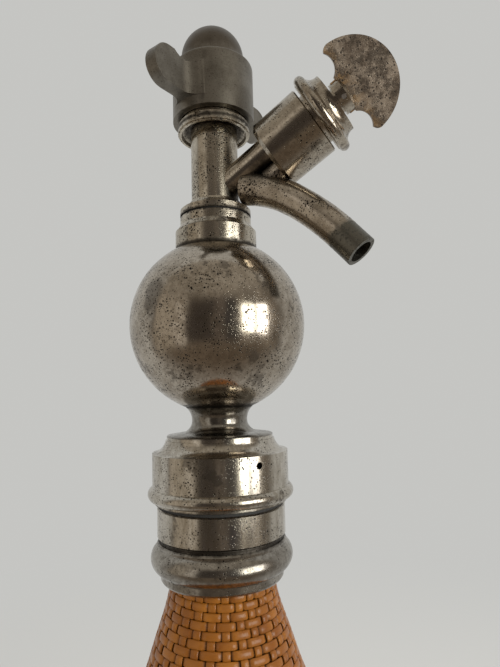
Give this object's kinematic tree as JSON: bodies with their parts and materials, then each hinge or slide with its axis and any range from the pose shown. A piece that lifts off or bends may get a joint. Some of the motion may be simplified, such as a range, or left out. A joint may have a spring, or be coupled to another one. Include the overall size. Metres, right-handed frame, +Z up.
{
  "type": "soda siphon",
  "caption": "Wicker-covered soda siphon: a hollow metal globe on the neck, a winged cap over the gas bulb, and a screw tap with a flat key and a curved spout.",
  "frame": {"origin": "centre of the flat underside of the woven base, on the bottle's axis", "axes": "+Z up along the bottle's axis, +X the way the spout and the tap point, +Y to the left of the spout seen from behind the tap"},
  "size_m": [0.1259, 0.122, 0.4055],
  "materials": {
    "nickel": "worn and pitted nickel plate on brass",
    "cap_metal": "dark satin",
    "key_metal": "worn plate with brass showing",
    "brass": "plain turned brass",
    "steel": "bright",
    "cane": "varnished woven cane",
    "glass": "clear pressed glass",
    "rubber": "matt black",
    "leather": "greased leather packing"
  },
  "bodies": {
    "siphon": {"wicker_base": "cane", "wicker_cover": "cane", "bottle": "glass", "dip_tube": "glass", "tube_sleeve": "rubber", "neck_skirt": "nickel", "neck_sleeve": "nickel", "neck_gasket": "rubber", "coupling_nut": "nickel", "mouth_washer": "rubber", "head_plug": "brass", "pedestal": "nickel", "riser_tube": "brass", "globe_lower": "nickel", "globe_upper": "nickel", "collar_boss": "brass", "collar_nut": "nickel", "collar_washer": "rubber", "column": "nickel", "bulb_holder": "nickel", "bulb_seal": "rubber", "piercing_pin": "steel", "check_spring": "steel", "arm": "nickel", "tap_body": "nickel", "spout": "nickel", "packing_washer": "brass", "gland_packing": "leather", "gland_nut": "nickel"},
    "bulb": {"gas_bulb": "steel", "cap_pad": "leather"},
    "cap": {"wing_cap": "cap_metal"},
    "ball": {"check_ball": "steel"},
    "valve": {"valve_jumper": "brass", "valve_washer": "rubber"},
    "key": {"spindle": "key_metal", "wing_key": "key_metal", "key_pin": "key_metal"}
  },
  "joints": [
    {"name": "cap_slide", "type": "slide", "parent": "siphon", "child": "bulb", "axis": [0, 0, 1], "range_m": [-0.001, 0.006]},
    {"name": "cap_turn", "type": "hinge", "parent": "bulb", "child": "cap", "pos_m": [0, 0, 0.38], "axis": [0, 0, 1], "range_deg": [-240, 1440]},
    {"name": "check_lift", "type": "slide", "parent": "siphon", "child": "ball", "axis": [0, 0, -1], "range_m": [0, 0.0008], "stiffness_N_per_m": 200, "springref_m": -0.001, "deforming": ["check_spring"]},
    {"name": "valve_slide", "type": "slide", "parent": "siphon", "child": "valve", "axis": [0.8669, 0, 0.4985], "range_m": [0, 0.0025]},
    {"name": "key_turn", "type": "hinge", "parent": "valve", "child": "key", "pos_m": [0.03901, 0, 0.36197], "axis": [0.8669, 0, 0.4985], "range_deg": [0, 450]}
  ],
  "couplings": [
    {"joint": "cap_turn", "follows": "cap_slide", "rad_per_m": 4188.8},
    {"joint": "key_turn", "follows": "valve_slide", "rad_per_m": 3141.6}
  ]
}
